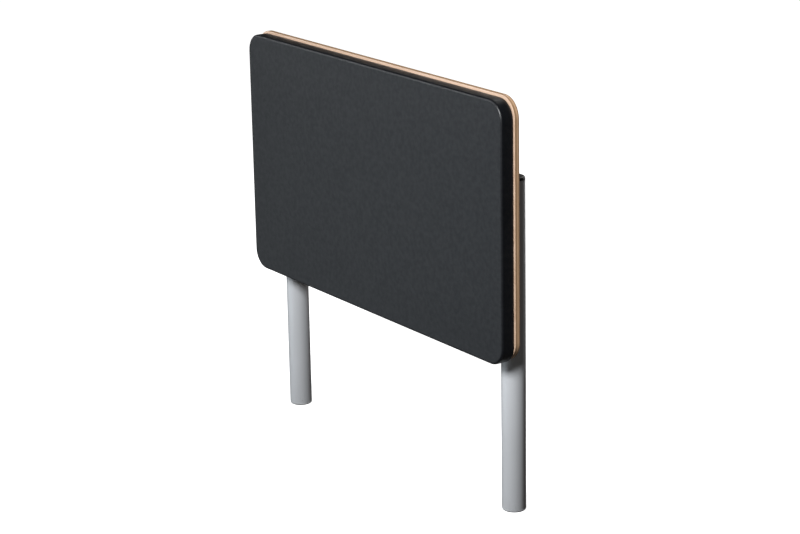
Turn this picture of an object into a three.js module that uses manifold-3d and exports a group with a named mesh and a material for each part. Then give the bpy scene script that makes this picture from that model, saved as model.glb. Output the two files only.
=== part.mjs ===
// A slant board: an upholstered board carried by two round posts that plug into a pair of sockets.
// Millimetres, +Z up. X runs along the board and the pad faces -Y.
// The origin is midway between the posts' lower ends, in the plane of the posts' axes.
import * as THREE from 'three';
import { mergeVertices } from 'three/addons/utils/BufferGeometryUtils.js';
import Module from 'manifold-3d';

const wasm = await Module();
wasm.setup();

// ---- driving dimensions ----
const CLEARANCE = 0.2;            // left between pieces that lie on each other

const POST_DIAMETER = 38;
const POST_WALL = 2;
const POST_SPACING = 620;         // axis to axis
const POST_HEIGHT = 533;          // over both plugs

const LOWER_PLUG = { flange: 4, edge: 3 };      // the flange stands outside the tube, its edge is rounded
const UPPER_PLUG = { flange: 5, edge: 4 };
const PLUG_DEPTH = 18;            // the part inside the tube
const PLUG_WALL = 2.5;

const BOARD_WIDTH = 716;
const BOARD_HEIGHT = 408;
const BOARD_THICKNESS = 9;
const BOARD_CORNER = 33;
const BOARD_EDGE = 1;             // rounding of the edges, front and back
const BOARD_TOP = 663;            // height of the board's top edge

const PAD_WIDTH = 711;
const PAD_HEIGHT = 408;
const PAD_TOP = 659.5;            // the pad hangs a little below the board's lower edge
const PAD_THICKNESS = 22.5;
const PAD_CORNER = 31;
const PAD_EDGE = 3.5;             // rounding where the pad's face meets its sides
const COVER_THICKNESS = 1;
const HEM_WIDTH = 25;             // cover turned in behind the base board
const BASE_THICKNESS = 6;

const PLATE_WIDTH = 76;
const PLATE_HEIGHT = 40;
const PLATE_THICKNESS = 4;
const PLATE_CORNER = 6;
const PLATE_LEVELS = { upper: 490, lower: 290 };
const WELD_GAP = 0.3;             // between tube, plate and weld
const WELD = { root: 5.5, crown: 11.8, toe: 13.2, toeHeight: 1.7, endMargin: 2 };   // from the tube's axis
const BOLT_OFFSET = 29;           // from the post's axis

const BOLT = { shank: 3, length: 12, chamfer: 0.7, head: 5.25, headHeight: 3.3, rimHeight: 0.6 };
const SOCKET = { acrossFlats: 4, depth: 2 };
const WASHER = { bore: 3.2, rim: 6, thickness: 1.6 };
const INSERT = { bore: 3.2, barrel: 4.5, flange: 8.5, flangeThickness: 1.2, length: 7.8 };
const SCREW = { shank: 2, length: 14, head: 3.75, headHeight: 2.2, headRim: 0.3, tip: 3, tipRadius: 0.6 };
const RECESS = { mouth: 1.5, floor: 0.9, depth: 1.4 };
const SCREW_COLUMNS = [-230, 0, 230];
const SCREW_EDGE_DISTANCE = 60;   // from the board's top and bottom edges
const PILOT_FLOOR = 1;            // left in front of the screws' holes in the base board

const ROUND_SIDES = 40;           // tubes and plugs
const SMALL_SIDES = 16;           // fasteners and their holes
const CORNER_STEPS = 4;
const OVERSHOOT = 1;              // how far a cutter runs past the face that it opens

// ---- faces worked out from the dimensions, along Y ----
const postRadius = POST_DIAMETER / 2;
const plateBack = -postRadius - WELD_GAP;
const plateFront = plateBack - PLATE_THICKNESS;
const boardBack = plateFront - CLEARANCE;
const boardFront = boardBack - BOARD_THICKNESS;
const coverBack = boardFront - CLEARANCE;
const padFront = boardFront - PAD_THICKNESS;
const baseBack = coverBack - COVER_THICKNESS - CLEARANCE;
const baseFront = baseBack - BASE_THICKNESS;
const foamBack = baseFront - CLEARANCE;
const foamFront = padFront + COVER_THICKNESS + CLEARANCE;
const washerBack = plateBack + CLEARANCE + WASHER.thickness;

const boardMiddle = BOARD_TOP - BOARD_HEIGHT / 2;
const padMiddle = PAD_TOP - PAD_HEIGHT / 2;
const skin = COVER_THICKNESS + CLEARANCE;

const posts = [
  { side: 'left', x: -POST_SPACING / 2, inward: 1 },
  { side: 'right', x: POST_SPACING / 2, inward: -1 },
];

// ---- solids ----
function toSolid(geometry) {
  geometry.deleteAttribute('normal');
  geometry.deleteAttribute('uv');
  const merged = mergeVertices(geometry, 1e-4);
  const vertProperties = new Float32Array(merged.attributes.position.array);
  const triVerts = new Uint32Array(merged.index.array);
  return new wasm.Manifold(new wasm.Mesh({ numProp: 3, vertProperties, triVerts }));
}

function toGeometry(solid) {
  const mesh = solid.getMesh();
  const geometry = new THREE.BufferGeometry();
  geometry.setAttribute('position', new THREE.BufferAttribute(mesh.vertProperties, 3));
  geometry.setIndex(new THREE.BufferAttribute(mesh.triVerts, 1));
  geometry.computeVertexNormals();
  return geometry;
}

function roundedRectangle(width, height, radius) {
  const right = width / 2 - radius;
  const top = height / 2 - radius;
  const shape = new THREE.Shape();
  shape.absarc(right, top, radius, 0, Math.PI / 2);
  shape.absarc(-right, top, radius, Math.PI / 2, Math.PI);
  shape.absarc(-right, -top, radius, Math.PI, 1.5 * Math.PI);
  shape.absarc(right, -top, radius, 1.5 * Math.PI, 2 * Math.PI);
  return shape;
}

// A flat slab with its back face at y = 0, standing in the XZ plane.
function slab(shape, thickness) {
  const options = { depth: thickness, bevelEnabled: false, curveSegments: CORNER_STEPS };
  return new THREE.ExtrudeGeometry(shape, options).rotateX(Math.PI / 2);
}

// A block with its flat back at y = 0 and its front edge rounded.
function softBlock(width, height, corner, edge, thickness) {
  const outline = roundedRectangle(width - 2 * edge, height - 2 * edge, corner - edge);
  const options = {
    depth: thickness - edge,
    bevelThickness: edge,
    bevelSize: edge,
    bevelSegments: 4,
    curveSegments: CORNER_STEPS,
  };
  const block = toSolid(new THREE.ExtrudeGeometry(outline, options).rotateX(Math.PI / 2));
  const behind = new THREE.BoxGeometry(2 * width, 4 * edge, 2 * height).translate(0, 2 * edge, 0);
  return block.subtract(toSolid(behind));
}

// A round solid about Y, from pairs of radius and height.
function turned(profile, sides) {
  const points = profile.map(([radius, height]) => new THREE.Vector2(radius, height));
  return new THREE.LatheGeometry(points, sides);
}

function hole(radius, from, to, x, z) {
  const length = to - from;
  const cutter = new THREE.CylinderGeometry(radius, radius, length, SMALL_SIDES);
  return toSolid(cutter.translate(x, (from + to) / 2, z));
}

// The rounded rim of a disc whose flat face is at height 0: from the flat face out to the side.
function roundedRim(radius, edge, steps) {
  const points = [];
  for (let step = 0; step <= steps; step += 1) {
    const angle = (Math.PI / 2) * (step / steps);
    points.push([radius - edge + edge * Math.sin(angle), edge - edge * Math.cos(angle)]);
  }
  return points;
}

// ---- materials ----
function finish(color, roughness, metalness) {
  return new THREE.MeshStandardMaterial({ color, roughness, metalness });
}

const leatherette = () => finish(0x3b3f43, 0.5, 0);
const foamFinish = () => finish(0xd8cfae, 0.95, 0);
const birchPlywood = () => finish(0xdab894, 0.6, 0);
const hardboard = () => finish(0x8a6a48, 0.8, 0);
const silverPaint = () => finish(0xb6babd, 0.45, 0.3);
const greyPlastic = () => finish(0xa9adb0, 0.5, 0);
const blackPlastic = () => finish(0x141414, 0.5, 0);
const zincSteel = () => finish(0xb9bcc0, 0.35, 0.9);
const blackSteel = () => finish(0x26272a, 0.45, 0.8);

// ---- sub-parts ----
const group = new THREE.Group();

function place(name, geometry, material, x, y, z) {
  const mesh = new THREE.Mesh(geometry, material);
  mesh.name = name;
  mesh.position.set(x, y, z);
  group.add(mesh);
}

function plateBoltPlaces() {
  const places = [];
  for (const post of posts) {
    for (const [level, z] of Object.entries(PLATE_LEVELS)) {
      for (const [end, direction] of [['inner', post.inward], ['outer', -post.inward]]) {
        places.push({ name: `${post.side}_${level}_${end}`, x: post.x + direction * BOLT_OFFSET, z });
      }
    }
  }
  return places;
}

function screwPlaces() {
  const reach = BOARD_HEIGHT / 2 - SCREW_EDGE_DISTANCE;
  return [boardMiddle + reach, boardMiddle - reach].flatMap((z) => SCREW_COLUMNS.map((x) => ({ x, z })));
}

// The plywood board is bored for the insert nuts from the front and countersunk for the screws behind.
function plywoodBoard() {
  const shrink = 2 * BOARD_EDGE;
  const outline = roundedRectangle(BOARD_WIDTH - shrink, BOARD_HEIGHT - shrink, BOARD_CORNER - BOARD_EDGE);
  const options = {
    depth: BOARD_THICKNESS - shrink,
    bevelThickness: BOARD_EDGE,
    bevelSize: BOARD_EDGE,
    bevelSegments: 2,
    curveSegments: CORNER_STEPS,
  };
  const blank = new THREE.ExtrudeGeometry(outline, options).rotateX(Math.PI / 2);
  let board = toSolid(blank.translate(0, -BOARD_EDGE, 0));
  const front = -BOARD_THICKNESS;
  for (const { x, z } of plateBoltPlaces()) {
    const seat = front + INSERT.flangeThickness + 2 * CLEARANCE;
    board = board.subtract(hole(INSERT.barrel + CLEARANCE, front - OVERSHOOT, OVERSHOOT, x, z - boardMiddle));
    board = board.subtract(hole(INSERT.flange + CLEARANCE, front - OVERSHOOT, seat, x, z - boardMiddle));
  }
  for (const { x, z } of screwPlaces()) {
    const shank = SCREW.shank + CLEARANCE;
    const mouth = SCREW.head + 2 * CLEARANCE;
    const depth = SCREW.headHeight + CLEARANCE;
    const cone = new THREE.CylinderGeometry(mouth, shank, depth, SMALL_SIDES);
    board = board.subtract(hole(shank, front - OVERSHOOT, OVERSHOOT, x, z - boardMiddle));
    board = board.subtract(toSolid(cone.translate(x, -depth / 2, z - boardMiddle)));
  }
  return toGeometry(board);
}

function baseBoard() {
  const outline = roundedRectangle(PAD_WIDTH - 2 * skin, PAD_HEIGHT - 2 * skin, PAD_CORNER - skin);
  let board = toSolid(slab(outline, BASE_THICKNESS));
  const depth = BASE_THICKNESS - PILOT_FLOOR;
  for (const { x, z } of screwPlaces()) {
    board = board.subtract(hole(SCREW.shank + CLEARANCE, -depth, OVERSHOOT, x, z - padMiddle));
  }
  return toGeometry(board);
}

function foamBlock() {
  const edge = PAD_EDGE - skin;
  const thickness = foamBack - foamFront;
  const block = softBlock(PAD_WIDTH - 2 * skin, PAD_HEIGHT - 2 * skin, PAD_CORNER - skin, edge, thickness);
  return toGeometry(block);
}

// The cover is drawn over the foam and the base board, and its hem leaves a window behind them.
function padCover() {
  const wall = COVER_THICKNESS;
  const thickness = coverBack - padFront;
  const outside = softBlock(PAD_WIDTH, PAD_HEIGHT, PAD_CORNER, PAD_EDGE, thickness);
  const inside = softBlock(
    PAD_WIDTH - 2 * wall, PAD_HEIGHT - 2 * wall, PAD_CORNER - wall, PAD_EDGE - wall, thickness - 2 * wall,
  ).translate([0, -wall, 0]);
  const windowShape = roundedRectangle(PAD_WIDTH - 2 * HEM_WIDTH, PAD_HEIGHT - 2 * HEM_WIDTH, PAD_CORNER / 2);
  const window = toSolid(slab(windowShape, 2 * wall)).translate([0, wall / 2, 0]);
  return toGeometry(outside.subtract(inside).subtract(window));
}

function postTube() {
  const bore = postRadius - POST_WALL;
  const length = POST_HEIGHT - LOWER_PLUG.flange - UPPER_PLUG.flange;
  const wall = [[bore, 0], [postRadius, 0], [postRadius, length], [bore, length], [bore, 0]];
  return turned(wall, ROUND_SIDES).rotateX(Math.PI / 2);
}

// A plug is a cup whose flange closes the tube's end; its flat outer face is at height 0.
function endPlug({ flange, edge }) {
  const spigot = postRadius - POST_WALL - CLEARANCE;
  const seat = flange - CLEARANCE;
  const mouth = flange + PLUG_DEPTH;
  const profile = [
    [0, 0],
    ...roundedRim(postRadius, edge, 3),
    [postRadius, seat],
    [spigot, seat],
    [spigot, mouth],
    [spigot - PLUG_WALL, mouth],
    [spigot - PLUG_WALL, flange],
    [0, flange],
  ];
  return turned(profile, ROUND_SIDES).rotateX(Math.PI / 2);
}

function mountingPlate() {
  const outline = roundedRectangle(PLATE_WIDTH, PLATE_HEIGHT, PLATE_CORNER);
  for (const x of [-BOLT_OFFSET, BOLT_OFFSET]) {
    const bore = new THREE.Path();
    bore.absarc(x, 0, WASHER.bore + CLEARANCE, 0, 2 * Math.PI, true);
    outline.holes.push(bore);
  }
  return slab(outline, PLATE_THICKNESS);
}

// A fillet weld fills the wedge between the tube and the plate, on one side of the tube.
function weldBead(direction) {
  const { root, crown, toe, toeHeight, endMargin } = WELD;
  const underTube = (x) => WELD_GAP + postRadius - Math.sqrt(postRadius ** 2 - x ** 2) - CLEARANCE;
  const onPlate = WELD_GAP / 2;
  const shoulder = (root + crown) / 2;
  const section = [
    [root, onPlate], [toe, onPlate], [toe - WELD_GAP, toeHeight],
    [crown, underTube(crown)], [shoulder, underTube(shoulder)], [root, underTube(root)],
  ];
  const shape = new THREE.Shape(section.map(([x, y]) => new THREE.Vector2(direction * x, y)));
  const length = PLATE_HEIGHT - 2 * endMargin;
  const bead = new THREE.ExtrudeGeometry(shape, { depth: length, bevelEnabled: false });
  return bead.translate(0, 0, -length / 2);
}

// The bolt's bearing face is at y = 0, with its domed head towards +Y.
function buttonHeadBolt() {
  const { shank, length, chamfer, head, headHeight, rimHeight } = BOLT;
  const domeSteps = 3;
  const domeEnd = Math.PI / 3;
  const dome = [];
  for (let step = 0; step <= domeSteps; step += 1) {
    const angle = domeEnd * (step / domeSteps);
    const rise = (headHeight - rimHeight) * (Math.sin(angle) / Math.sin(domeEnd));
    dome.push([head * Math.cos(angle), rimHeight + rise]);
  }
  const profile = [
    [0, -length], [shank - chamfer, -length], [shank, -length + chamfer], [shank, 0],
    [head, 0], ...dome, [0, headHeight],
  ];
  const corner = SOCKET.acrossFlats / Math.sqrt(3);
  const recess = new THREE.CylinderGeometry(corner, corner, 2 * SOCKET.depth, 6);
  const blank = toSolid(turned(profile, SMALL_SIDES));
  return toGeometry(blank.subtract(toSolid(recess.translate(0, headHeight, 0))));
}

function washer() {
  const { bore, rim, thickness } = WASHER;
  return turned([[bore, 0], [rim, 0], [rim, thickness], [bore, thickness], [bore, 0]], SMALL_SIDES);
}

// The insert nut's flange lies on the board's front; its barrel points back to the plate.
function insertNut() {
  const { bore, barrel, flange, flangeThickness, length } = INSERT;
  const profile = [
    [bore, 0], [flange, 0], [flange, flangeThickness], [barrel, flangeThickness],
    [barrel, length], [bore, length], [bore, 0],
  ];
  return turned(profile, SMALL_SIDES);
}

// The countersunk screw's head is flush at y = 0 and its tip points to -Y.
function countersunkScrew() {
  const { shank, length, head, headHeight, headRim, tip, tipRadius } = SCREW;
  const profile = [
    [0, -length], [tipRadius, -length], [shank, -length + tip], [shank, -headHeight],
    [head, -headRim], [head, 0], [0, 0],
  ];
  const blank = toSolid(turned(profile, SMALL_SIDES));
  const recess = new THREE.CylinderGeometry(RECESS.mouth, RECESS.floor, 2 * RECESS.depth, 6);
  return toGeometry(blank.subtract(toSolid(recess)));
}

// ---- assembly ----
place('plywood_board', plywoodBoard(), birchPlywood(), 0, boardBack, boardMiddle);
place('pad_base_board', baseBoard(), hardboard(), 0, baseBack, padMiddle);
place('pad_foam', foamBlock(), foamFinish(), 0, foamBack, padMiddle);
place('pad_cover', padCover(), leatherette(), 0, coverBack, padMiddle);

for (const post of posts) {
  place(`${post.side}_post_tube`, postTube(), silverPaint(), post.x, 0, LOWER_PLUG.flange);
  place(`${post.side}_lower_plug`, endPlug(LOWER_PLUG), greyPlastic(), post.x, 0, 0);
  const upperPlug = endPlug(UPPER_PLUG).rotateX(Math.PI);
  place(`${post.side}_upper_plug`, upperPlug, blackPlastic(), post.x, 0, POST_HEIGHT);
  for (const [level, z] of Object.entries(PLATE_LEVELS)) {
    const name = `${post.side}_${level}`;
    place(`${name}_plate`, mountingPlate(), silverPaint(), post.x, plateBack, z);
    place(`${name}_weld_inner`, weldBead(post.inward), silverPaint(), post.x, plateBack, z);
    place(`${name}_weld_outer`, weldBead(-post.inward), silverPaint(), post.x, plateBack, z);
  }
}

for (const { name, x, z } of plateBoltPlaces()) {
  place(`${name}_bolt`, buttonHeadBolt(), blackSteel(), x, washerBack + CLEARANCE / 2, z);
  place(`${name}_washer`, washer(), zincSteel(), x, washerBack - WASHER.thickness, z);
  place(`${name}_insert_nut`, insertNut(), zincSteel(), x, boardFront + CLEARANCE, z);
}

screwPlaces().forEach(({ x, z }, index) => {
  place(`pad_screw_${index + 1}`, countersunkScrew(), zincSteel(), x, boardBack - CLEARANCE, z);
});

export default group;
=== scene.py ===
import math

import bmesh
import bpy
from mathutils import Matrix, Vector, noise


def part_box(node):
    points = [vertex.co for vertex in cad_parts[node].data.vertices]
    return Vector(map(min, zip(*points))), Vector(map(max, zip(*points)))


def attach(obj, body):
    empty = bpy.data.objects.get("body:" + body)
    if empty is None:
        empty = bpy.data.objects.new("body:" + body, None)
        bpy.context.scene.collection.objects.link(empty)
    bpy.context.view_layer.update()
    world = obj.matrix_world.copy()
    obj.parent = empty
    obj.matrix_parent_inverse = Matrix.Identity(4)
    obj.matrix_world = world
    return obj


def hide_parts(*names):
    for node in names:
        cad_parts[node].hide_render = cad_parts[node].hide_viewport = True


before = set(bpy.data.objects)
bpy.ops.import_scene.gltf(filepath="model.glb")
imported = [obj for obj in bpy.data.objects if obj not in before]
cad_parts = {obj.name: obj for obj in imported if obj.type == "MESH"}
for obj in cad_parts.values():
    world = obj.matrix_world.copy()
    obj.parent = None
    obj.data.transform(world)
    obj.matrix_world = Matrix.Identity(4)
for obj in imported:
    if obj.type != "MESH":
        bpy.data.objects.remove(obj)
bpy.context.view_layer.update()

# ------------------------------------------------------------------------------------------
# Camera. A long lens from the front right and a little above, as for a catalogue picture.
# ------------------------------------------------------------------------------------------
def linked(name, data):
    """A new object with its data, linked to the scene."""
    made = bpy.data.objects.new(name, data)
    bpy.context.scene.collection.objects.link(made)
    return made


lens = bpy.data.cameras.new("catalogue_lens")
lens.sensor_width = 36.0
lens.lens = 106.55
lens.clip_start = 0.1
lens.clip_end = 60.0
camera = linked("catalogue_camera", lens)
camera_place = (3.046, -2.066, 1.395)
camera_turn = math.radians(55.791)
camera_dip = math.radians(16.293)
camera_roll = math.radians(-1.038)
camera.matrix_world = (
    Matrix.Translation(camera_place)
    @ Matrix.Rotation(camera_turn, 4, "Z")
    @ Matrix.Rotation(math.pi / 2 - camera_dip, 4, "X")
    @ Matrix.Rotation(camera_roll, 4, "Z")
)
bpy.context.scene.camera = camera


# ------------------------------------------------------------------------------------------
# Studio. A pale floor that fills the picture, a key light in front on the right, and on the left
# a softer one, a low wide panel and a narrow strip that the pad mirrors. Two weak lights behind
# reach the plywood and the rims of the tubes.
# ------------------------------------------------------------------------------------------
def soft_light(name, azimuth, elevation, distance, size, power, tint):
    """An area light aimed at the board from a direction, both angles in degrees."""
    turn, rise = math.radians(azimuth), math.radians(elevation)
    level = math.cos(rise)
    towards = Vector((math.sin(turn) * level, -math.cos(turn) * level, math.sin(rise)))
    data = bpy.data.lights.new(name, "AREA")
    data.shape = "RECTANGLE"
    data.size, data.size_y = size
    data.energy = power
    data.color = tint
    light = linked(name, data)
    light.location = lit_middle + towards * distance
    light.rotation_euler = (-towards).to_track_quat("-Z", "Y").to_euler()


lit_middle = Vector((0.0, 0.0, 0.40))
soft_light("key_softbox", 33, 31, 2.6, (0.6, 0.6), 89, (0.97, 0.985, 1.0))
soft_light("left_softbox", -36, 24, 2.6, (2.4, 1.0), 20, (0.97, 0.985, 1.0))
soft_light("low_panel", -36, -13, 2.8, (3.4, 1.7), 12.5, (0.86, 0.94, 1.0))
soft_light("back_fill", 205, 35, 2.8, (1.4, 1.0), 10, (1.0, 0.98, 0.96))
soft_light("rim_panel", 190, 5, 2.8, (1.4, 1.4), 10, (1.0, 0.99, 0.97))
soft_light("edge_strip", -57, 13, 2.8, (0.5, 0.6), 6, (0.93, 0.97, 1.0))

world = bpy.data.worlds.new("studio_air")
world.use_nodes = True
air = world.node_tree.nodes["Background"]
air.inputs["Color"].default_value = (1.0, 0.96, 0.91, 1.0)
air.inputs["Strength"].default_value = 0.05
bpy.context.scene.world = world
bpy.context.scene.view_settings.view_transform = "Standard"

floor_mesh = bmesh.new()
bmesh.ops.create_grid(floor_mesh, x_segments=2, y_segments=2, size=20.0)
floor_drop = 0.0004
bmesh.ops.translate(floor_mesh, vec=(0, 0, -floor_drop), verts=floor_mesh.verts)
floor_data = bpy.data.meshes.new("studio_floor")
floor_mesh.to_mesh(floor_data)
floor_mesh.free()
floor = linked("studio_floor", floor_data)
floor_paper = bpy.data.materials.new("floor_paper")
floor_paper.use_nodes = True
paper = floor_paper.node_tree.nodes["Principled BSDF"]
paper.inputs["Base Color"].default_value = (0.93, 0.93, 0.93, 1.0)
paper.inputs["Roughness"].default_value = 0.95
paper.inputs["Emission Color"].default_value = (1.0, 1.0, 1.0, 1.0)
paper.inputs["Emission Strength"].default_value = 0.95
floor_data.materials.append(floor_paper)
floor.visible_diffuse = False
floor.visible_glossy = False
floor.visible_shadow = False


# ------------------------------------------------------------------------------------------
# Plywood board. Birch plywood of five plies, sawn to shape, its edges rounded over and
# lacquered. It is bored for the insert nuts in front and countersunk for the screws behind.
# ------------------------------------------------------------------------------------------
def finished_piece(name, shape, material):
    """A named object from a bmesh, with its finish, riding on the one body."""
    mesh = bpy.data.meshes.new(name)
    shape.to_mesh(mesh)
    shape.free()
    mesh.materials.append(material)
    piece = linked(name, mesh)
    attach(piece, "root")
    return piece


def smooth_faces(shape, sharp_angle=35):
    """Smooth shading, with the edges sharper than the angle left crisp."""
    for face in shape.faces:
        face.smooth = True
    for edge in shape.edges:
        edge.smooth = edge.is_boundary or edge.calc_face_angle(0) < math.radians(sharp_angle)


def verts_in(items):
    """The vertices among the things that an operator made."""
    return [item for item in items if isinstance(item, bmesh.types.BMVert)]


def edges_in(items):
    """The edges among the things that an operator made."""
    return [item for item in items if isinstance(item, bmesh.types.BMEdge)]


def standing_outline(width, height, corner, corner_steps, y, centre):
    """A flat rectangle with rounded corners, standing in the XZ plane at one Y."""
    shape = bmesh.new()
    upright = Matrix.Translation((centre[0], y, centre[1])) @ Matrix.Rotation(math.pi / 2, 4, "X")
    bmesh.ops.create_grid(
        shape, x_segments=1, y_segments=1, size=0.5, matrix=upright @ Matrix.Diagonal((width, height, 1, 1))
    )
    bmesh.ops.bevel(
        shape, geom=list(shape.verts), offset=corner, segments=corner_steps,
        profile=0.5, affect="VERTICES", material=-1,
    )
    return shape


def standing_slab(width, height, corner, back, front, centre, edge, corner_steps=24, edge_steps=3):
    """A rounded rectangle from its back to its front in Y, with its rims rounded over."""
    shape = standing_outline(width, height, corner, corner_steps, back, centre)
    grown = bmesh.ops.extrude_face_region(shape, geom=list(shape.faces))
    bmesh.ops.translate(shape, vec=(0, front - back, 0), verts=verts_in(grown["geom"]))
    bmesh.ops.recalc_face_normals(shape, faces=shape.faces)
    rims = [rim for rim in shape.edges if rim.calc_face_angle(0) > math.radians(60)]
    bmesh.ops.bevel(
        shape, geom=rims, offset=edge, segments=edge_steps, profile=0.5, affect="EDGES", material=-1
    )
    return shape


def applied(piece):
    """Makes the piece's modifiers part of its mesh."""
    graph = bpy.context.evaluated_depsgraph_get()
    result = bpy.data.meshes.new_from_object(piece.evaluated_get(graph))
    piece.modifiers.clear()
    piece.data = result


def cut_away(piece, cutter_shape):
    """Cuts the closed shapes of a bmesh out of a piece."""
    cutter_mesh = bpy.data.meshes.new("cutter")
    cutter_shape.to_mesh(cutter_mesh)
    cutter_shape.free()
    cutter = linked("cutter", cutter_mesh)
    cut = piece.modifiers.new("cut", "BOOLEAN")
    cut.operation = "DIFFERENCE"
    cut.solver = "EXACT"
    cut.object = cutter
    applied(piece)
    bpy.data.objects.remove(cutter)


def crisp_edges(piece):
    """Smooth shading with crisp edges on a finished mesh, and flat faces that look flat."""
    shape = bmesh.new()
    shape.from_mesh(piece.data)
    smooth_faces(shape)
    shape.to_mesh(piece.data)
    shape.free()
    piece.modifiers.new("flat_faces", "WEIGHTED_NORMAL").keep_sharp = True


def add_cylinder(shape, radius, start, end, centre, sides=32, end_radius=None):
    """A closed cylinder or cone along Y between two values of Y, centred over a point."""
    middle = Matrix.Translation((centre.x, (start + end) / 2, centre.z))
    bmesh.ops.create_cone(
        shape, cap_ends=True, segments=sides, radius1=radius,
        radius2=radius if end_radius is None else end_radius, depth=abs(end - start),
        matrix=middle @ Matrix.Rotation(math.copysign(math.pi / 2, start - end), 4, "X"),
    )


def middle_of(node_name):
    """The middle of a CAD node's box."""
    low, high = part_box(node_name)
    return (low + high) / 2


def node(tree, kind, **values):
    """A shader node with its properties and input sockets set by name."""
    made = tree.nodes.new(kind)
    for key, value in values.items():
        if hasattr(made, key):
            setattr(made, key, value)
        else:
            made.inputs[key.replace("_", " ")].default_value = value
    return made


def ramp(tree, fac, stops):
    """A colour ramp on a value; each stop is a place and a colour, or a place and a grey level."""
    made = tree.nodes.new("ShaderNodeValToRGB")
    elements = made.color_ramp.elements
    while len(elements) < len(stops):
        elements.new(1.0)
    for element, (place, colour) in zip(elements, stops):
        element.position = place
        element.color = (*colour, 1.0) if isinstance(colour, tuple) else (colour, colour, colour, 1.0)
    tree.links.new(fac, made.inputs["Fac"])
    return made.outputs["Color"]


def principled(name):
    """A new material; returns it with its node tree and its shader."""
    material = bpy.data.materials.new(name)
    material.use_nodes = True
    return material, material.node_tree, material.node_tree.nodes["Principled BSDF"]


def object_space(tree, scale=(1, 1, 1)):
    """Object coordinates, squeezed or stretched along each axis."""
    place = tree.nodes.new("ShaderNodeTexCoord")
    mapping = node(tree, "ShaderNodeMapping", Scale=scale)
    tree.links.new(place.outputs["Object"], mapping.inputs["Vector"])
    return mapping.outputs["Vector"]


def object_axis(tree, axis):
    """One of the Object coordinates, in metres."""
    parts = tree.nodes.new("ShaderNodeSeparateXYZ")
    tree.links.new(object_space(tree), parts.inputs["Vector"])
    return parts.outputs[axis]


def fine_noise(tree, vector, scale, detail=4.0, roughness=0.5):
    """Cloudy noise on a vector, from 0 to 1."""
    made = node(tree, "ShaderNodeTexNoise", Scale=scale, Detail=detail, Roughness=roughness)
    tree.links.new(vector, made.inputs["Vector"])
    return made.outputs["Fac"]


def mixed(tree, blend, factor, first, second):
    """Two colours mixed; each input may be a socket or a value."""
    made = tree.nodes.new("ShaderNodeMix")
    made.data_type = "RGBA"
    made.blend_type = blend
    for socket, value in ((made.inputs[0], factor), (made.inputs[6], first), (made.inputs[7], second)):
        if isinstance(value, bpy.types.NodeSocket):
            tree.links.new(value, socket)
        elif isinstance(value, tuple):
            socket.default_value = (*value, 1.0)
        else:
            socket.default_value = value
    return made.outputs[2]


def bumped(tree, shader, heights):
    """Chains bumps into the shader's normal; each is a height socket, a strength and a distance."""
    last = None
    for height, strength, distance in heights:
        bump = node(tree, "ShaderNodeBump", Strength=strength, Distance=distance)
        tree.links.new(height, bump.inputs["Height"])
        if last:
            tree.links.new(last, bump.inputs["Normal"])
        last = bump.outputs["Normal"]
    tree.links.new(last, shader.inputs["Normal"])


board_low, board_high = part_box("plywood_board")
board_middle = (0.0, (board_low.z + board_high.z) / 2)
board_size = board_high - board_low


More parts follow.
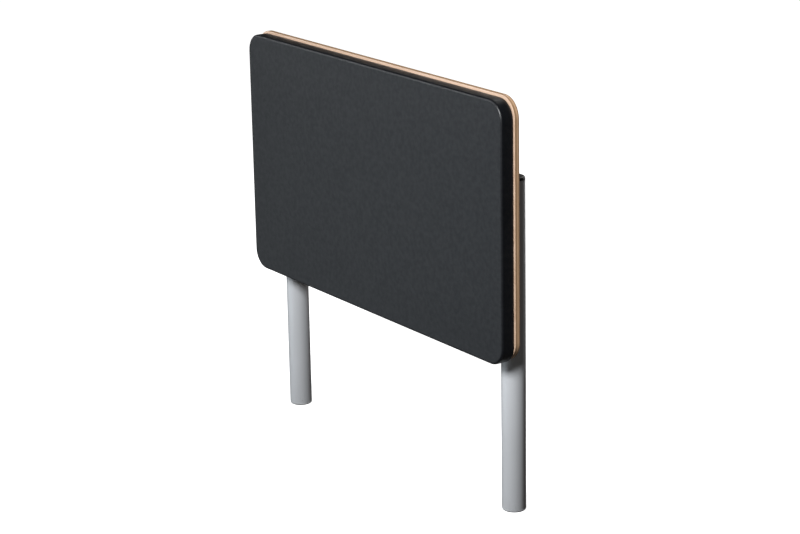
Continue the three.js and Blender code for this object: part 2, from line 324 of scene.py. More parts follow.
def birch_plywood():
    """Long grain on the faces, and on the edges light and dark plies by their depth in the board."""
    material, tree, shader = principled("birch_plywood")
    links = tree.links
    grain_space = object_space(tree, scale=(3.2, 40.0, 46.0))
    warp = fine_noise(tree, object_space(tree, scale=(2.0, 2.0, 2.0)), 3.0, 2.0)
    bent = node(tree, "ShaderNodeVectorMath", operation="MULTIPLY_ADD")
    links.new(warp, bent.inputs[0])
    bent.inputs[1].default_value = (0.0, 0.0, 3.0)
    links.new(grain_space, bent.inputs[2])
    long_grain = fine_noise(tree, bent.outputs["Vector"], 1.0, 8.0, 0.62)
    face = ramp(tree, long_grain, [
        (0.25, (0.45, 0.295, 0.20)), (0.46, (0.55, 0.385, 0.275)), (0.62, (0.60, 0.43, 0.32)),
        (0.80, (0.52, 0.35, 0.24)),
    ])
    streaks = fine_noise(tree, object_space(tree, scale=(9.0, 300.0, 420.0)), 1.0, 3.0, 0.7)
    face = mixed(tree, "MULTIPLY", 0.35, face, ramp(tree, streaks, [
        (0.36, (0.72, 0.66, 0.60)), (0.48, 1.0), (1.0, 1.0),
    ]))
    end_grain = fine_noise(tree, object_space(tree, scale=(900.0, 900.0, 900.0)), 1.0, 2.0, 0.6)
    dark_ply = ramp(tree, end_grain, [(0.30, (0.27, 0.155, 0.085)), (0.70, (0.45, 0.275, 0.155))])
    side_grain = fine_noise(tree, object_space(tree, scale=(30.0, 900.0, 30.0)), 1.0, 4.0, 0.6)
    light_ply = ramp(tree, side_grain, [(0.30, (0.50, 0.31, 0.175)), (0.70, (0.66, 0.43, 0.26))])

    ply_wander = 0.0005
    wander = fine_noise(tree, object_space(tree, scale=(14.0, 14.0, 14.0)), 1.0, 2.0)
    shifted = node(tree, "ShaderNodeMath", operation="MULTIPLY_ADD")
    links.new(wander, shifted.inputs[0])
    shifted.inputs[1].default_value = ply_wander
    links.new(object_axis(tree, "Y"), shifted.inputs[2])
    through = tree.nodes.new("ShaderNodeMapRange")
    links.new(shifted.outputs["Value"], through.inputs["Value"])
    through.inputs["From Min"].default_value = board_low.y + ply_wander / 2
    through.inputs["From Max"].default_value = board_high.y + ply_wander / 2
    depth = through.outputs["Result"]
    is_dark = ramp(tree, depth, [
        (0.0, 0.0), (0.13, 0.0), (0.155, 1.0), (0.41, 1.0), (0.435, 0.0), (0.72, 0.0),
        (0.745, 1.0), (0.88, 1.0), (0.905, 0.0),
    ])
    is_edge = ramp(tree, depth, [(0.0, 0.0), (0.06, 0.0), (0.10, 1.0), (0.90, 1.0), (0.94, 0.0)])
    edge = mixed(tree, "MIX", is_dark, light_ply, dark_ply)
    colour = mixed(tree, "MIX", is_edge, face, edge)
    links.new(colour, shader.inputs["Base Color"])
    shader.inputs["Roughness"].default_value = 0.42
    shader.inputs["Coat Weight"].default_value = 0.25
    shader.inputs["Coat Roughness"].default_value = 0.30
    bumped(tree, shader, [(streaks, 0.12, 0.0003), (end_grain, 0.08, 0.0002)])
    return material


board_corner, board_edge = 0.033, 0.001
board_shape = standing_slab(
    board_size.x, board_size.z, board_corner, board_high.y, board_low.y, board_middle, board_edge,
    edge_steps=4,
)
plywood = finished_piece("birch_board", board_shape, birch_plywood())

sides = ("left", "right")
levels = ("upper", "lower")
ends = ("inner", "outer")
bolt_names = [f"{side}_{level}_{end}" for side in sides for level in levels for end in ends]
screw_names = [f"pad_screw_{count}" for count in range(1, 7)]
nut_hole, screw_hole = 0.0047, 0.0022
flange_seat, flange_seat_depth = 0.0087, 0.0016
countersink, countersink_depth = 0.0043, 0.0024
clear, sliver = 0.001, 0.0002
bores = bmesh.new()
seats = bmesh.new()
for name in bolt_names:
    nut = middle_of(f"{name}_insert_nut")
    add_cylinder(bores, nut_hole, board_low.y - clear, board_high.y + clear, nut)
    add_cylinder(seats, flange_seat, board_low.y - clear, board_low.y + flange_seat_depth, nut)
for name in screw_names:
    screw = middle_of(name)
    add_cylinder(bores, screw_hole, board_low.y - clear, board_high.y + clear, screw, sides=24)
    add_cylinder(
        seats, screw_hole, board_high.y - countersink_depth, board_high.y + sliver, screw,
        end_radius=countersink,
    )
cut_away(plywood, bores)
cut_away(plywood, seats)
crisp_edges(plywood)
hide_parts("plywood_board")


# ------------------------------------------------------------------------------------------
# Base board of the pad. Wood fibre board with its edges eased, so that they don't cut the
# cover; the foam is glued to its front and the screws from behind the plywood bite in it.
# ------------------------------------------------------------------------------------------
def fibre_board():
    """Pressed wood fibres, dull and uneven in colour."""
    material, tree, shader = principled("fibre_board")
    fibres = fine_noise(tree, object_space(tree, scale=(260.0, 260.0, 260.0)), 1.0, 6.0, 0.7)
    colour = ramp(tree, fibres, [(0.3, (0.17, 0.095, 0.045)), (0.7, (0.33, 0.21, 0.11))])
    tree.links.new(colour, shader.inputs["Base Color"])
    shader.inputs["Roughness"].default_value = 0.85
    bumped(tree, shader, [(fibres, 0.3, 0.0003)])
    return material


base_low, base_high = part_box("pad_base_board")
base_size = base_high - base_low
pad_middle = (0.0, (base_low.z + base_high.z) / 2)
base_corner, base_edge = 0.0298, 0.0015
pilot_depth = 0.005
base_shape = standing_slab(
    base_size.x, base_size.z, base_corner, base_high.y, base_low.y, pad_middle, base_edge, corner_steps=16
)
smooth_faces(base_shape)
base_board = finished_piece("fibre_base_board", base_shape, fibre_board())
pilots = bmesh.new()
for name in screw_names:
    screw = middle_of(name)
    add_cylinder(pilots, screw_hole, base_high.y - pilot_depth, base_high.y + clear, screw, sides=16)
cut_away(base_board, pilots)
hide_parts("pad_base_board")


# ------------------------------------------------------------------------------------------
# Foam. A sheet of open-cell upholstery foam glued on the base board. The cover squeezes its
# front edge round and leaves its middle a little proud.
# ------------------------------------------------------------------------------------------
def upholstery_foam():
    """Open cells, yellowish, with no shine."""
    material, tree, shader = principled("upholstery_foam")
    cells = node(tree, "ShaderNodeTexVoronoi", Scale=900.0)
    tree.links.new(object_space(tree), cells.inputs["Vector"])
    colour = ramp(tree, cells.outputs["Distance"], [(0.0, (0.80, 0.72, 0.50)), (0.8, (0.52, 0.44, 0.27))])
    tree.links.new(colour, shader.inputs["Base Color"])
    shader.inputs["Roughness"].default_value = 0.95
    bumped(tree, shader, [(cells.outputs["Distance"], 0.6, 0.0005)])
    return material


def add_loop(shape, loop, inset, depth, core):
    """Extrudes a loop of edges, then moves it in towards the pad's core rectangle and along Y."""
    grown = bmesh.ops.extrude_edge_only(shape, edges=loop)["geom"]
    for vertex in verts_in(grown):
        nearest_x = max(-core[0], min(core[0], vertex.co.x))
        nearest_z = max(-core[1], min(core[1], vertex.co.z - pad_middle[1])) + pad_middle[1]
        towards = Vector((nearest_x - vertex.co.x, 0, nearest_z - vertex.co.z)).normalized()
        vertex.co += towards * inset
        vertex.co.y += depth
    return edges_in(grown)


def soft_net(width, height, corner, edge_round, back, front, cell, side_rows):
    """An even net of four-sided faces over a pad: its face, its rounded front edge and its sides.

    Also gives the open outline at the back, and half the width and height between the corners.
    """
    corner_steps, round_steps = 10, 5
    shape = standing_outline(width, height, corner, corner_steps, back, pad_middle)
    bmesh.ops.delete(shape, geom=list(shape.faces), context="FACES_ONLY")
    core = (width / 2 - corner, height / 2 - corner)
    for along, half_length in (("x", core[0]), ("z", core[1])):
        straight = [
            edge for edge in shape.edges
            if abs(getattr(edge.verts[0].co, along) - getattr(edge.verts[1].co, along)) > half_length * 1.8
        ]
        bmesh.ops.subdivide_edges(shape, edges=straight, cuts=round(half_length / cell) * 2 - 1)
    outline = list(shape.edges)
    side = front - back + edge_round
    loop = outline
    for row in range(side_rows):
        loop = add_loop(shape, loop, 0, side / side_rows, core)
    for step in range(round_steps):
        now, then = (math.pi / 2 * count / round_steps for count in (step, step + 1))
        inset = edge_round * (math.cos(now) - math.cos(then))
        loop = add_loop(shape, loop, inset, -edge_round * (math.sin(then) - math.sin(now)), core)
    rails = []
    for edge in loop:
        middle = (edge.verts[0].co + edge.verts[1].co) / 2
        beyond = abs(middle.z - pad_middle[1]) - core[1]
        if beyond > 0 and beyond > abs(middle.x) - core[0]:
            rails.append(edge)
    bmesh.ops.grid_fill(shape, edges=rails, use_interp_simple=True)
    return shape, outline, core


foam_low, foam_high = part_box("pad_foam")
foam_size = foam_high - foam_low
foam_corner, pad_edge_round = 0.0293, 0.0035
foam_clear, foam_crown, crowned_depth = 0.0005, 0.0006, 0.001
foam_front = foam_low.y + 0.0003
foam_shape, foam_back, _ = soft_net(
    foam_size.x - 2 * foam_clear, foam_size.z - 2 * foam_clear, foam_corner, pad_edge_round,
    foam_high.y, foam_front, cell=0.016, side_rows=2,
)
bmesh.ops.edgeloop_fill(foam_shape, edges=foam_back)
for vertex in foam_shape.verts:
    across = math.cos(math.pi * vertex.co.x / foam_size.x)
    upwards = math.cos(math.pi * (vertex.co.z - pad_middle[1]) / foam_size.z)
    if vertex.co.y < foam_low.y + crowned_depth:
        vertex.co.y -= foam_crown * math.sqrt(max(0.0, across * upwards))
bmesh.ops.recalc_face_normals(foam_shape, faces=foam_shape.faces)
smooth_faces(foam_shape, 60)
foam = finished_piece("foam_sheet", foam_shape, upholstery_foam())
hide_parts("pad_foam")


# ------------------------------------------------------------------------------------------
# Pad cover. One sheet of charcoal artificial leather drawn tight over the foam, round the
# corners and in behind the base board, where its hem is stapled.
# ------------------------------------------------------------------------------------------
def leatherette():
    """Fine pebbled grain with creases and pores, its sheen a little mottled."""
    material, tree, shader = principled("leatherette")
    links = tree.links
    skin = object_space(tree)
    pebbles = node(tree, "ShaderNodeTexVoronoi", feature="SMOOTH_F1", Scale=1100.0, Smoothness=0.6)
    links.new(skin, pebbles.inputs["Vector"])
    creases = node(tree, "ShaderNodeTexVoronoi", feature="DISTANCE_TO_EDGE", Scale=620.0)
    links.new(skin, creases.inputs["Vector"])
    pores = fine_noise(tree, skin, 2600.0, 3.0, 0.6)
    cloudy = fine_noise(tree, skin, 9.0, 6.0, 0.72)
    colour = ramp(tree, cloudy, [(0.30, (0.0024, 0.0031, 0.0047)), (0.70, (0.0034, 0.0043, 0.0062))])
    links.new(colour, shader.inputs["Base Color"])
    links.new(ramp(tree, cloudy, [(0.30, 0.39), (0.70, 0.46)]), shader.inputs["Roughness"])
    mottle = fine_noise(tree, skin, 130.0, 3.0, 0.6)
    links.new(ramp(tree, mottle, [(0.35, 0.43), (0.65, 0.56)]), shader.inputs["Specular IOR Level"])
    bumped(tree, shader, [
        (creases.outputs["Distance"], 0.30, 0.00025), (pebbles.outputs["Distance"], 0.25, 0.0002),
        (pores, 0.10, 0.0001),
    ])
    return material


cover_low, cover_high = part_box("pad_cover")
cover_size = cover_high - cover_low
cover_corner = 0.031
sheet = 0.001
fold = 0.0012
hem_width, hem_rows = 0.025, 3
cover_net, back_loop, cover_core = soft_net(
    cover_size.x, cover_size.z, cover_corner, pad_edge_round, cover_high.y - fold, cover_low.y,
    cell=0.0065, side_rows=4,
)
back_loop = add_loop(cover_net, back_loop, fold * 0.3, fold * 0.7, cover_core)
back_loop = add_loop(cover_net, back_loop, fold * 0.7, fold * 0.3, cover_core)
for row in range(hem_rows):
    back_loop = add_loop(cover_net, back_loop, (hem_width - fold) / hem_rows, 0, cover_core)
bmesh.ops.recalc_face_normals(cover_net, faces=cover_net.faces)
a_hair = 0.0001
front_faces = [face for face in cover_net.faces if face.calc_center_median().y < cover_low.y + a_hair]
if sum(face.normal.y for face in front_faces) > 0:
    bmesh.ops.reverse_faces(cover_net, faces=cover_net.faces)
for face in cover_net.faces:
    face.smooth = True
cover = finished_piece("leatherette_cover", cover_net, leatherette())
held_depth = 0.0075
held = cover.vertex_groups.new(name="held")
held.add([v.index for v in cover.data.vertices if v.co.y > cover_high.y - held_depth], 1.0, "REPLACE")
rest_points = [v.co.copy() for v in cover.data.vertices]
outward = [v.normal.copy() for v in cover.data.vertices]

cloth = cover.modifiers.new("stretch", "CLOTH")
cloth.settings.quality = 6
cloth.settings.mass = 0.4
cloth.settings.tension_stiffness = 30
cloth.settings.compression_stiffness = 30
cloth.settings.bending_stiffness = 4.0
cloth.settings.use_pressure = True
cloth.settings.uniform_pressure_force = 4.0
cloth.settings.vertex_group_mass = "held"
cloth.settings.effector_weights.gravity = 0.0
cloth.collision_settings.use_collision = False
for step in range(1, 21):
    bpy.context.scene.frame_set(step)
applied(cover)
bpy.context.scene.frame_set(1)

# The foam and the boards behind the sheet let it swell a little, and never sink in. Its sides
# swell less than its face.
swell = 0.0012
lifts = [(v.co - rest).dot(out) for v, rest, out in zip(cover.data.vertices, rest_points, outward)]
highest = max(max(lifts), 1e-6)
for vertex, rest, out, lift in zip(cover.data.vertices, rest_points, outward, lifts):
    give = swell * (0.3 + 0.7 * abs(out.y))
    vertex.co = rest + out * (give * math.tanh(2.0 * max(lift, 0.0) / highest))
fine = cover.modifiers.new("finer_net", "SUBSURF")
fine.levels = fine.render_levels = 1
thick = cover.modifiers.new("sheet_thickness", "SOLIDIFY")
thick.thickness = sheet
thick.offset = -1.0
applied(cover)
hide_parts("pad_cover")


# ------------------------------------------------------------------------------------------
# Staples. Galvanized wire staples shot through the hem into the base board, one every few
# centimetres and three round each corner. Their crowns bite into the artificial leather.
# ------------------------------------------------------------------------------------------
def metal(name, dark, light, roughness, metallic=1.0):
    """Plated or blackened steel: cloudy plating with fine scratches."""
    material, tree, shader = principled(name)
    place = object_space(tree)
    cloud = fine_noise(tree, place, 160.0, 4.0, 0.6)
    tree.links.new(ramp(tree, cloud, [(0.3, dark), (0.7, light)]), shader.inputs["Base Color"])
    sheen = ramp(tree, cloud, [(0.35, roughness + 0.12), (0.65, roughness - 0.06)])
    tree.links.new(sheen, shader.inputs["Roughness"])
    shader.inputs["Metallic"].default_value = metallic
    scratches = fine_noise(tree, object_space(tree, scale=(2600.0, 300.0, 2600.0)), 1.0, 2.0, 0.6)
    bumped(tree, shader, [(scratches, 0.10, 0.0001)])
    return material


zinc = metal("zinc_plating", (0.44, 0.45, 0.46), (0.60, 0.61, 0.63), 0.32)
wire_width, wire_thickness = 0.0009, 0.00045
crown, leg, bend = 0.010, 0.0045, 0.0006
staple_inset = 0.014
staple_pitch = 0.040


def add_staple(shape, place):
    """One bent wire staple; its crown lies along X and its legs point to -Y."""
    wire = bmesh.new()
    section = Matrix.Rotation(math.pi / 2, 4, "X") @ Matrix.Diagonal((wire_thickness, wire_width, 1, 1))
    foot = Matrix.Translation((-crown / 2, -leg, 0)) @ section
    bmesh.ops.create_grid(wire, x_segments=1, y_segments=1, size=0.5, matrix=foot)
    bmesh.ops.delete(wire, geom=list(wire.faces), context="FACES_ONLY")
    tip = list(wire.edges)

    def onwards(vector):
        """Draws the wire straight on from its tip."""
        grown = bmesh.ops.extrude_edge_only(wire, edges=tip)["geom"]
        bmesh.ops.translate(wire, vec=vector, verts=verts_in(grown))
        tip[:] = edges_in(grown)

    def round_bend(centre):
        """Bends the wire a quarter turn at its tip."""
        tip_verts = list({vertex for edge in tip for vertex in edge.verts})
        around = bmesh.ops.spin(
            wire, geom=tip_verts + tip, cent=centre, axis=(0, 0, 1), angle=-math.pi / 2, steps=3
        )["geom_last"]
        tip[:] = edges_in(around)

    onwards((0, leg - bend, 0))
    round_bend((-crown / 2 + bend, -bend, 0))
    onwards((crown - 2 * bend, 0, 0))
    round_bend((crown / 2 - bend, -bend, 0))
    onwards((0, bend - leg, 0))
    bmesh.ops.holes_fill(wire, edges=wire.edges)
    bmesh.ops.remove_doubles(wire, verts=wire.verts, dist=1e-7)
    bmesh.ops.recalc_face_normals(wire, faces=wire.faces)
    bmesh.ops.transform(wire, matrix=place, verts=wire.verts)
    loose = bpy.data.meshes.new("staple")
    wire.to_mesh(loose)
    wire.free()
    shape.from_mesh(loose)
    bpy.data.meshes.remove(loose)


def staple_places():
    """Places along the hem, each with the direction of the edge beside it."""
    places = []
    for along, across, turn in (
        (cover_core[0], cover_size.z / 2 - staple_inset, 0.0),
        (cover_core[1], cover_size.x / 2 - staple_inset, math.pi / 2),
    ):
        count = round(2 * along / staple_pitch)
        for step in range(count + 1):
            run = along * (2 * step / count - 1)
            for out in (-across, across):
                places.append(((run, out) if turn == 0 else (out, run), turn))
    reach = cover_corner - staple_inset
    for across, upwards in ((1, 1), (1, -1), (-1, 1), (-1, -1)):
        for turn in (22.5, 45.0, 67.5):
            angle = math.radians(turn)
            place = (
                across * (cover_core[0] + reach * math.cos(angle)),
                upwards * (cover_core[1] + reach * math.sin(angle)),
            )
            places.append((place, across * upwards * (angle - math.pi / 2)))
    return places


staples_shape = bmesh.new()
crown_proud = 0.00008
crown_middle = cover_high.y + crown_proud - wire_thickness / 2
most_skew = 0.10
for count, ((x, z), turn) in enumerate(staple_places()):
    skew = most_skew * math.sin(2.4 * count)
    place = Matrix.Translation((x, crown_middle, z + pad_middle[1]))
    add_staple(staples_shape, place @ Matrix.Rotation(-turn + skew, 4, "Y"))
finished_piece("cover_staples", staples_shape, zinc)


# ------------------------------------------------------------------------------------------
# Posts. Round steel tube in a silver-grey powder coat, satin and slightly pebbled, with a few
# specks of dirt and faint rub marks where the lower ends go into their sockets.
# ------------------------------------------------------------------------------------------
def silver_paint():
    """Powder coat with a fine pebble and metal flake, specks of dirt, and rubs near the floor."""
    material, tree, shader = principled("silver_paint")
    links = tree.links
    place = object_space(tree)
    peel = fine_noise(tree, place, 420.0, 2.0, 0.5)
    flake = fine_noise(tree, place, 5200.0, 1.0, 0.5)
    cloud = fine_noise(tree, object_space(tree, scale=(1, 1, 0.35)), 14.0, 3.0, 0.5)
    body = ramp(tree, cloud, [(0.3, (0.60, 0.615, 0.635)), (0.7, (0.66, 0.675, 0.70))])
    body = mixed(tree, "MULTIPLY", 0.25, body, ramp(tree, flake, [(0.35, 0.80), (0.65, 1.0)]))
    dirt = fine_noise(tree, place, 170.0, 1.0, 0.4)
    speck = (0.25, 0.23, 0.20)
    specks = ramp(tree, dirt, [(0.0, speck), (0.185, speck), (0.205, 1.0)])
    body = mixed(tree, "MULTIPLY", 0.85, body, specks)
    near_socket = ramp(tree, object_axis(tree, "Z"), [(0.004, 1.0), (0.055, 0.0)])
    rubs = fine_noise(tree, object_space(tree, scale=(700.0, 700.0, 30.0)), 1.0, 3.0, 0.6)
    rub_marks = ramp(tree, rubs, [(0.60, 0.0), (0.68, 1.0)])
    worn = mixed(tree, "MULTIPLY", 1.0, near_socket, rub_marks)
    body = mixed(tree, "MIX", worn, body, (0.46, 0.47, 0.485))
    links.new(body, shader.inputs["Base Color"])
    links.new(ramp(tree, cloud, [(0.3, 0.40), (0.7, 0.47)]), shader.inputs["Roughness"])
    shader.inputs["Metallic"].default_value = 0.25
    bumped(tree, shader, [(peel, 0.10, 0.0004), (flake, 0.05, 0.0001)])
    return material


def add_turned(shape, profile, place, sides=48, closed=False):
    """Spins pairs of radius and height round the Z axis of a place."""
    corners = [shape.verts.new(place @ Vector((radius, 0, height))) for radius, height in profile]
    edges = [shape.edges.new(pair) for pair in zip(corners, corners[1:])]
    if closed:
        edges.append(shape.edges.new((corners[-1], corners[0])))
    bmesh.ops.spin(
        shape, geom=corners + edges, cent=place.translation, axis=place.to_3x3() @ Vector((0, 0, 1)),
        angle=2 * math.pi, steps=sides, use_merge=True,
    )
    bmesh.ops.remove_doubles(shape, verts=shape.verts, dist=1e-6)
    bmesh.ops.recalc_face_normals(shape, faces=shape.faces)
    smooth_faces(shape)


paint = silver_paint()
tube_radius, tube_bore = 0.019, 0.017
end_round = 0.0005
post_x = {}
for side in sides:
    low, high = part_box(f"{side}_post_tube")
    post_x[side] = (low.x + high.x) / 2
    steps = ((1, 0), (0.3, 0.3), (0, 1))
    rounding = [(tube_radius - end_round * inwards, end_round * up) for inwards, up in steps]
    wall = [
        (tube_bore, low.z), *[(radius, low.z + rise) for radius, rise in rounding],
        *[(radius, high.z - rise) for radius, rise in reversed(rounding)], (tube_bore, high.z),
    ]
    tube_shape = bmesh.new()
    add_turned(tube_shape, wall, Matrix.Translation((post_x[side], 0, 0)), sides=96, closed=True)
    tube = finished_piece(f"{side}_post", tube_shape, paint)
    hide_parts(f"{side}_post_tube")


# ------------------------------------------------------------------------------------------
# End plugs. Moulded cups pressed into the tubes, grey below and black above. Barbs round the
# skirt grip the tube's bore, and the flange has a rounded rim and the gate mark in its middle.
# ------------------------------------------------------------------------------------------
def moulded_plastic(name, dark, light, roughness):
    """Spark-textured moulded plastic, with painted shade darkening the few millimetres next to the floor.
    """
    material, tree, shader = principled(name)
    place = object_space(tree)
    texture = fine_noise(tree, place, 2400.0, 3.0, 0.6)
    cloud = fine_noise(tree, place, 60.0, 2.0, 0.5)
    # Painted shade: the rounded rim within a few millimetres of the floor is coloured dark, standing in for
    # the shade that falls there.
    painted_floor_shade = ramp(tree, object_axis(tree, "Z"), [
        (0.0, (0.22, 0.22, 0.21)), (0.0034, (0.28, 0.28, 0.27)), (0.0039, 0.85),
    ])
    colour = mixed(tree, "MULTIPLY", 1.0, ramp(tree, cloud, [(0.35, dark), (0.65, light)]), painted_floor_shade)
    tree.links.new(colour, shader.inputs["Base Color"])
    sheen = ramp(tree, texture, [(0.3, roughness + 0.06), (0.7, roughness - 0.04)])
    tree.links.new(sheen, shader.inputs["Roughness"])
    bumped(tree, shader, [(texture, 0.22, 0.00012)])
    return material


def add_plug(shape, flange, edge, place):
    """A plug with its outer face at height 0 and its skirt above it."""
    gate, gate_depth = 0.0022, 0.0004
    rim = [
        (tube_radius - edge + edge * math.sin(angle), edge - edge * math.cos(angle))
        for angle in (math.pi / 2 * step / 10 for step in range(11))
    ]
    spigot, depth, wall = 0.0168, 0.018, 0.0025
    waist, top = spigot - 0.0003, flange + depth
    barbs = []
    for level in (0.004, 0.008, 0.012):
        foot = flange + level
        barbs += [(waist, foot), (spigot + 0.00015, foot + 0.0004), (waist, foot + 0.0018)]
    seat = flange - 0.0002
    profile = [
        (0, gate_depth), (gate * 0.8, gate_depth), (gate, 0), *rim, (tube_radius, seat - 0.0003),
        (tube_radius - 0.0003, seat), (waist, seat), *barbs, (waist, top - 0.001), (spigot - 0.001, top),
        (spigot - wall, top), (spigot - wall, flange + 0.001), (spigot - wall - 0.001, flange), (0, flange),
    ]
    add_turned(shape, profile, place, sides=96)


grey_plastic = moulded_plastic("grey_plastic", (0.50, 0.515, 0.535), (0.58, 0.595, 0.61), 0.45)
black_plastic = moulded_plastic("black_plastic", (0.006, 0.006, 0.0065), (0.010, 0.010, 0.0105), 0.42)
foot_flange, foot_edge = 0.004, 0.003
head_flange, head_edge = 0.005, 0.004
for side in sides:
    lower_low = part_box(f"{side}_lower_plug")[0]
    lower_shape = bmesh.new()
    add_plug(lower_shape, foot_flange, foot_edge, Matrix.Translation((post_x[side], 0, lower_low.z)))
    lower_plug = finished_piece(f"{side}_foot_plug", lower_shape, grey_plastic)
    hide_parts(f"{side}_lower_plug")
    upper_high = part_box(f"{side}_upper_plug")[1]
    upside_down = Matrix.Translation((post_x[side], 0, upper_high.z)) @ Matrix.Rotation(math.pi, 4, "X")
    upper_shape = bmesh.new()
    add_plug(upper_shape, head_flange, head_edge, upside_down)
    upper_plug = finished_piece(f"{side}_head_plug", upper_shape, black_plastic)
    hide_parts(f"{side}_upper_plug")


# ------------------------------------------------------------------------------------------
# Mounting plates. Cut from 4 mm steel strip with rounded corners, drilled at both ends,
# welded across the posts and painted with them.
# ------------------------------------------------------------------------------------------
plate_corner, plate_edge, plate_hole = 0.006, 0.0005, 0.0034
for side in sides:
    for level in levels:
        name = f"{side}_{level}"
        low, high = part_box(f"{name}_plate")
        middle = (low + high) / 2
        plate_shape = standing_slab(
            high.x - low.x, high.z - low.z, plate_corner, high.y, low.y, (middle.x, middle.z),
            plate_edge, corner_steps=10,
        )
        plate = finished_piece(f"{name}_mounting_plate", plate_shape, paint)
        holes = bmesh.new()
        for end in ends:
            bolt = middle_of(f"{name}_{end}_bolt")
            add_cylinder(holes, plate_hole, low.y - clear, high.y + clear, bolt)
        cut_away(plate, holes)
        crisp_edges(plate)
        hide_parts(f"{name}_plate")


# ------------------------------------------------------------------------------------------
# Welds. A bead of overlapping ripples in the wedge between tube and plate, on both sides of
# the tube, painted over with the rest.
# ------------------------------------------------------------------------------------------
def weld_bead(centre, length, radius):
    """A closed bead along Z whose rings swell and shrink as the puddles follow each other."""
    ripple_pitch, rings_each = 0.0023, 6
    nose = 0.0012
    rings = round(length / ripple_pitch) * rings_each
    axis = Matrix.Translation((-centre.x, -centre.y, 0))
    shape = bmesh.new()
    start = Matrix.Translation((centre.x, centre.y, centre.z - length / 2))
    bmesh.ops.create_circle(shape, cap_ends=False, segments=20, radius=radius, matrix=start)
    for vertex in shape.verts:
        vertex.co.z -= nose * ((vertex.co.x - centre.x) / radius) ** 2
    loop = list(shape.edges)
    size = 1.0
    for ring in range(1, rings + 1):
        grown = bmesh.ops.extrude_edge_only(shape, edges=loop)["geom"]
        moved = verts_in(grown)
        loop = edges_in(grown)
        phase = (ring % rings_each) / rings_each
        end_taper = min(1.0, 0.72 + 0.09 * min(ring, rings - ring))
        uneven = 1 + 0.04 * noise.noise((centre.x * 90, centre.z * 40, ring * 0.21))
        new_size = end_taper * uneven * (1 + 0.09 * math.sqrt(math.sin(math.pi * phase)))
        spread = new_size / size
        bmesh.ops.scale(shape, vec=(spread, spread, 1), space=axis, verts=moved)
        bmesh.ops.translate(shape, vec=(0, 0, length / rings), verts=moved)
        size = new_size
    bmesh.ops.holes_fill(shape, edges=shape.edges)
    bmesh.ops.recalc_face_normals(shape, faces=shape.faces)
    smooth_faces(shape, 60)
    return shape


bead_radius, bead_from_post_middle, bead_from_plate = 0.0027, 0.0105, 0.0021
for side in sides:
    for level in levels:
        for end in ends:
            weld = f"{side}_{level}_weld_{end}"
            low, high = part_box(weld)
            outwards = math.copysign(1, middle_of(weld).x - post_x[side])
            bead_x = post_x[side] + outwards * bead_from_post_middle
            bead_middle = Vector((bead_x, low.y + bead_from_plate, (low.z + high.z) / 2))
            bead_shape = weld_bead(bead_middle, high.z - low.z, bead_radius)
            bead = finished_piece(f"{side}_{level}_bead_{end}", bead_shape, paint)
            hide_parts(weld)


# ------------------------------------------------------------------------------------------
# Plate bolts. M6 button-head screws in black oxide with a hexagon socket, put through washer,
# plate and plywood from behind into the flanged nuts let into the board's front.
# ------------------------------------------------------------------------------------------
def thread(radius, depth, pitch, start, end):
    """Ridges between two heights, as points of a profile."""
    turns = round((end - start) / pitch)
    points = []
    for turn in range(turns):
        points += [(radius, start + pitch * (turn + 0.15)), (radius - depth, start + pitch * (turn + 0.65))]
    return points


black_oxide = metal("black_oxide", (0.018, 0.018, 0.020), (0.045, 0.045, 0.048), 0.38, metallic=0.7)
to_back = Matrix.Rotation(-math.pi / 2, 4, "X")
shank, shank_length = 0.003, 0.012
head, head_height, head_rim, dome_turn = 0.00525, 0.0033, 0.0007, math.radians(62)
socket_width, socket_depth = 0.004, 0.0020
hole, washer_rim, soft = 0.0032, 0.006, 0.0002
barrel, flange, flange_thickness = 0.0045, 0.0085, 0.0012
dome_height = (head_height - head_rim) / math.sin(dome_turn)
dome = [
    (head * math.cos(angle), head_rim + dome_height * math.sin(angle))
    for angle in (dome_turn * step / 8 for step in range(9))
]
bolt_profile = [
    (0, -shank_length), (shank - 0.0006, -shank_length),
    *thread(shank, 0.00045, 0.001, 0.0006 - shank_length, -0.002),
    (shank, -0.0015), (shank, 0), (head - 0.0003, 0), (head, 0.0003), *dome, (0, head_height),
]
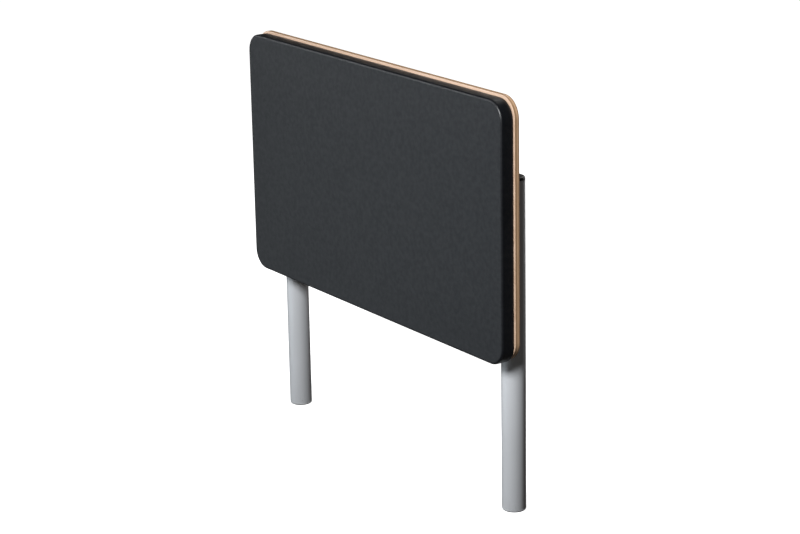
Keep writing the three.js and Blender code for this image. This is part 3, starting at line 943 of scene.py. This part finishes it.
for name in bolt_names:
    bolt = middle_of(f"{name}_bolt")
    bolt_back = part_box(f"{name}_bolt")[1].y
    bolt_shape = bmesh.new()
    under_head = Matrix.Translation((bolt.x, bolt_back - head_height, bolt.z))
    add_turned(bolt_shape, bolt_profile, under_head @ to_back)
    piece = finished_piece(f"{name}_button_head", bolt_shape, black_oxide)
    socket = bmesh.new()
    add_cylinder(
        socket, socket_width / math.sqrt(3), bolt_back - socket_depth, bolt_back + clear, bolt, sides=6
    )
    cut_away(piece, socket)
    crisp_edges(piece)
    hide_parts(f"{name}_bolt")

    washer_low, washer_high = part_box(f"{name}_washer")
    thickness = washer_high.y - washer_low.y
    washer_profile = [
        (hole, soft), (hole + soft, 0), (washer_rim - soft, 0), (washer_rim, soft),
        (washer_rim, thickness - soft), (washer_rim - soft, thickness),
        (hole + soft, thickness), (hole, thickness - soft),
    ]
    washer_shape = bmesh.new()
    washer_front = Matrix.Translation((bolt.x, washer_low.y, bolt.z))
    add_turned(washer_shape, washer_profile, washer_front @ to_back, closed=True)
    washer = finished_piece(f"{name}_flat_washer", washer_shape, zinc)
    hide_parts(f"{name}_washer")

    nut_low, nut_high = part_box(f"{name}_insert_nut")
    length = nut_high.y - nut_low.y
    nut_profile = [
        (hole, 0.0003), (hole + 0.0003, 0), (flange - soft, 0), (flange, soft),
        (flange, flange_thickness - soft), (flange - soft, flange_thickness),
        (barrel - 0.0004, flange_thickness),
        *thread(barrel, 0.0004, 0.0015, flange_thickness + 0.0003, length - 0.0006),
        (barrel - 0.0006, length), (hole, length),
    ]
    nut_shape = bmesh.new()
    nut_front = Matrix.Translation((bolt.x, nut_low.y, bolt.z))
    add_turned(nut_shape, nut_profile, nut_front @ to_back, closed=True)
    nut = finished_piece(f"{name}_flanged_nut", nut_shape, zinc)
    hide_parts(f"{name}_insert_nut")


# ------------------------------------------------------------------------------------------
# Pad screws. Six zinc-plated countersunk wood screws with a cross recess, driven from behind
# through the plywood into the pad's base board until their heads are flush.
# ------------------------------------------------------------------------------------------
screw_head, screw_shank, screw_sink = 0.00375, 0.002, 0.0022
recess_depth, recess_reach, recess_tip, blade = 0.0030, 0.0028, 0.0004, 0.30
for name in screw_names:
    low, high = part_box(name)
    middle = (low + high) / 2
    length = high.y - low.y
    screw_profile = [
        (0, -length), (screw_shank * 0.35, -length + 0.0012),
        *thread(screw_shank, 0.0005, 0.0014, -length + 0.0018, -screw_sink - 0.001),
        (screw_shank, -screw_sink), (screw_head, -0.0003), (screw_head, -0.0001),
        (screw_head - 0.0001, 0), (0, 0),
    ]
    screw_shape = bmesh.new()
    head_top = Matrix.Translation((middle.x, high.y, middle.z))
    add_turned(screw_shape, screw_profile, head_top @ to_back, sides=40)
    piece = finished_piece(f"{name}_wood_screw", screw_shape, zinc)
    driven_turn = 35 + 40 * middle.x
    for quarter in (0, 90):
        recess = bmesh.new()
        twist = Matrix.Rotation(math.radians(driven_turn + quarter), 4, "Y")
        bmesh.ops.create_cone(
            recess, cap_ends=True, segments=4, radius1=recess_tip, radius2=recess_reach, depth=recess_depth,
            matrix=head_top @ twist @ to_back @ Matrix.Diagonal((1, blade, 1, 1)),
        )
        cut_away(piece, recess)
    crisp_edges(piece)
    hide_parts(name)
